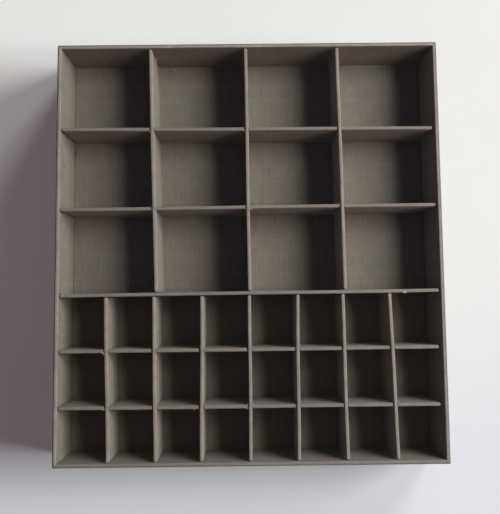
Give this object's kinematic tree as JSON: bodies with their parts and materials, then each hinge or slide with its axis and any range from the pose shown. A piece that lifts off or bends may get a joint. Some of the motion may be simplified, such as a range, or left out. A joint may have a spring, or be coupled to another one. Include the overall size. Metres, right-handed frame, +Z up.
{
  "type": "partitioned tray",
  "caption": "Shallow open tray of cloth-covered grey board with lift-out slotted dividers that part it into rows of large and small cells.",
  "frame": {"origin": "centre of the underside, where the tray rests", "axes": "+Z up out of the tray, +Y to the back, where the large cells are, +X to the right"},
  "size_m": [0.23, 0.251, 0.032],
  "materials": {
    "grey_board": "raw pressed grey board, matte",
    "cover_cloth": "woven book cloth, matte",
    "lining_cloth": "fine woven book cloth, matte",
    "divider_cloth": "fine woven book cloth, matte",
    "base_paper": "laid lining paper, matte"
  },
  "bodies": {
    "tray": {"base_board": "grey_board", "front_board": "grey_board", "back_board": "grey_board", "left_board": "grey_board", "right_board": "grey_board", "outer_cover": "cover_cloth", "base_paper": "base_paper", "floor_lining": "lining_cloth", "front_lining": "lining_cloth", "back_lining": "lining_cloth", "left_lining": "lining_cloth", "right_lining": "lining_cloth"},
    "middle_wall": {"middle_wall_board": "grey_board", "middle_wall_cover": "divider_cloth"},
    "upper_grid": {"upper_rail_1_board": "grey_board", "upper_rail_1_cover": "divider_cloth", "upper_rail_2_board": "grey_board", "upper_rail_2_cover": "divider_cloth"},
    "upper_upright_1": {"upper_upright_1_board": "grey_board", "upper_upright_1_cover": "divider_cloth"},
    "upper_upright_2": {"upper_upright_2_board": "grey_board", "upper_upright_2_cover": "divider_cloth"},
    "upper_upright_3": {"upper_upright_3_board": "grey_board", "upper_upright_3_cover": "divider_cloth"},
    "lower_grid": {"lower_rail_1_board": "grey_board", "lower_rail_1_cover": "divider_cloth", "lower_rail_2_board": "grey_board", "lower_rail_2_cover": "divider_cloth"},
    "lower_upright_1": {"lower_upright_1_board": "grey_board", "lower_upright_1_cover": "divider_cloth"},
    "lower_upright_2": {"lower_upright_2_board": "grey_board", "lower_upright_2_cover": "divider_cloth"},
    "lower_upright_3": {"lower_upright_3_board": "grey_board", "lower_upright_3_cover": "divider_cloth"},
    "lower_upright_4": {"lower_upright_4_board": "grey_board", "lower_upright_4_cover": "divider_cloth"},
    "lower_upright_5": {"lower_upright_5_board": "grey_board", "lower_upright_5_cover": "divider_cloth"},
    "lower_upright_6": {"lower_upright_6_board": "grey_board", "lower_upright_6_cover": "divider_cloth"},
    "lower_upright_7": {"lower_upright_7_board": "grey_board", "lower_upright_7_cover": "divider_cloth"}
  },
  "joints": [
    {"name": "middle_wall_lift", "type": "slide", "parent": "tray", "child": "middle_wall", "axis": [0, 0, 1], "range_m": [0, 0.035]},
    {"name": "upper_grid_lift", "type": "slide", "parent": "tray", "child": "upper_grid", "axis": [0, 0, 1], "range_m": [0, 0.035]},
    {"name": "upper_upright_1_lift", "type": "slide", "parent": "upper_grid", "child": "upper_upright_1", "axis": [0, 0, 1], "range_m": [0, 0.035]},
    {"name": "upper_upright_2_lift", "type": "slide", "parent": "upper_grid", "child": "upper_upright_2", "axis": [0, 0, 1], "range_m": [0, 0.035]},
    {"name": "upper_upright_3_lift", "type": "slide", "parent": "upper_grid", "child": "upper_upright_3", "axis": [0, 0, 1], "range_m": [0, 0.035]},
    {"name": "lower_grid_lift", "type": "slide", "parent": "tray", "child": "lower_grid", "axis": [0, 0, 1], "range_m": [0, 0.035]},
    {"name": "lower_upright_1_lift", "type": "slide", "parent": "lower_grid", "child": "lower_upright_1", "axis": [0, 0, 1], "range_m": [0, 0.035]},
    {"name": "lower_upright_2_lift", "type": "slide", "parent": "lower_grid", "child": "lower_upright_2", "axis": [0, 0, 1], "range_m": [0, 0.035]},
    {"name": "lower_upright_3_lift", "type": "slide", "parent": "lower_grid", "child": "lower_upright_3", "axis": [0, 0, 1], "range_m": [0, 0.035]},
    {"name": "lower_upright_4_lift", "type": "slide", "parent": "lower_grid", "child": "lower_upright_4", "axis": [0, 0, 1], "range_m": [0, 0.035]},
    {"name": "lower_upright_5_lift", "type": "slide", "parent": "lower_grid", "child": "lower_upright_5", "axis": [0, 0, 1], "range_m": [0, 0.035]},
    {"name": "lower_upright_6_lift", "type": "slide", "parent": "lower_grid", "child": "lower_upright_6", "axis": [0, 0, 1], "range_m": [0, 0.035]},
    {"name": "lower_upright_7_lift", "type": "slide", "parent": "lower_grid", "child": "lower_upright_7", "axis": [0, 0, 1], "range_m": [0, 0.035]}
  ]
}
